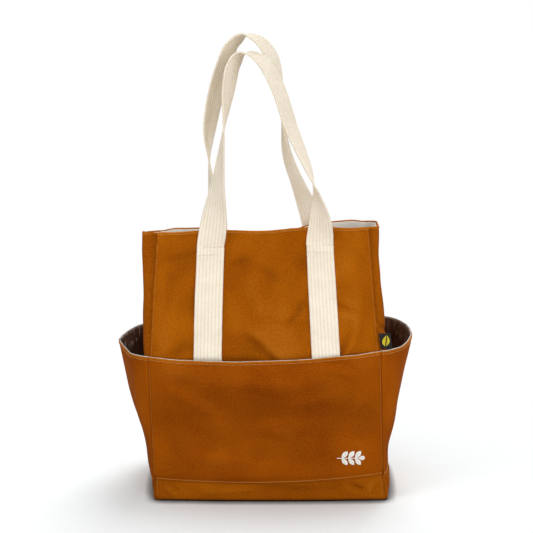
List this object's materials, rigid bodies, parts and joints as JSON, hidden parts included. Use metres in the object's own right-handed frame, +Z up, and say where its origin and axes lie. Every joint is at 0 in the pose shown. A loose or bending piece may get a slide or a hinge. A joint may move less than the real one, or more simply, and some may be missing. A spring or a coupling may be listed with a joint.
{
  "type": "garden tool bag",
  "caption": "Canvas tote for garden tools with an open-topped lined body, a band of outside pockets and two webbing handles.",
  "frame": {"origin": "centre of the flat underside of the base", "axes": "+Z up, -Y towards the front, +X to the right seen from the front"},
  "size_m": [0.4189, 0.1938, 0.6316],
  "materials": {
    "canvas": "heavy cotton canvas, slightly brushed",
    "main_lining": "plain woven cotton",
    "coated_lining": "coated nylon, satin",
    "rim_binding": "woven tape",
    "webbing": "ribbed cotton webbing",
    "thread": "polyester thread, slight sheen",
    "board": "pressed fibreboard, matte",
    "snap_metal": "nickel-plated steel, satin",
    "label": "woven satin label"
  },
  "bodies": {
    "bag": {"base_panel": "canvas", "base_board": "board", "base_lining": "main_lining", "front_panel_lower": "canvas", "back_panel_lower": "canvas", "left_gusset": "canvas", "right_gusset": "canvas", "front_lining_lower": "main_lining", "back_lining_lower": "main_lining", "left_gusset_lining": "main_lining", "right_gusset_lining": "main_lining", "front_pocket_panel": "canvas", "back_pocket_panel": "canvas", "front_pocket_lining": "coated_lining", "back_pocket_lining": "coated_lining", "front_pocket_binding": "rim_binding", "back_pocket_binding": "rim_binding", "strap_tails": "webbing", "embroidered_motif": "thread"},
    "left_pocket": {"left_pocket_panel": "canvas", "left_pocket_lining": "coated_lining", "left_pocket_binding": "rim_binding"},
    "right_pocket": {"right_pocket_panel": "canvas", "right_pocket_lining": "coated_lining", "right_pocket_binding": "rim_binding"},
    "front_mouth": {"front_panel_upper": "canvas", "front_lining_upper": "main_lining", "front_straps": "webbing", "front_bar_tacks": "thread", "snap_stud": "snap_metal", "snap_stud_washer": "snap_metal"},
    "back_mouth": {"back_panel_upper": "canvas", "back_lining_upper": "main_lining", "back_straps": "webbing", "back_bar_tacks": "thread", "snap_socket": "snap_metal", "snap_socket_washer": "snap_metal"},
    "front_loop": {"front_handle": "webbing"},
    "back_loop": {"back_handle": "webbing"},
    "label": {"woven_label": "label"}
  },
  "joints": [
    {"name": "left_pocket_press", "type": "hinge", "parent": "bag", "child": "left_pocket", "pos_m": [-0.16712, 0, 0.032], "axis": [0, 1, 0], "range_deg": [0, 6.5]},
    {"name": "right_pocket_press", "type": "hinge", "parent": "bag", "child": "right_pocket", "pos_m": [0.16436, 0, 0.04], "axis": [0, -1, 0], "range_deg": [0, 6.5]},
    {"name": "front_mouth_open", "type": "hinge", "parent": "bag", "child": "front_mouth", "pos_m": [0, -0.0875, 0.209], "axis": [0.9997, 0, 0.0255], "range_deg": [0, 15]},
    {"name": "back_mouth_open", "type": "hinge", "parent": "bag", "child": "back_mouth", "pos_m": [0, 0.0875, 0.209], "axis": [-0.9997, 0, -0.0255], "range_deg": [0, 15]},
    {"name": "front_handle_swing", "type": "hinge", "parent": "front_mouth", "child": "front_loop", "pos_m": [0, -0.02338, 0.347], "axis": [0.9997, 0, 0.0255], "range_deg": [0, 110]},
    {"name": "back_handle_swing", "type": "hinge", "parent": "back_mouth", "child": "back_loop", "pos_m": [0, 0.02338, 0.347], "axis": [-0.9997, 0, -0.0255], "range_deg": [0, 110]},
    {"name": "label_flap", "type": "hinge", "parent": "front_mouth", "child": "label", "pos_m": [0.14862, -0.08157, 0.2275], "axis": [0, 0, 1], "range_deg": [-80, 40]}
  ]
}
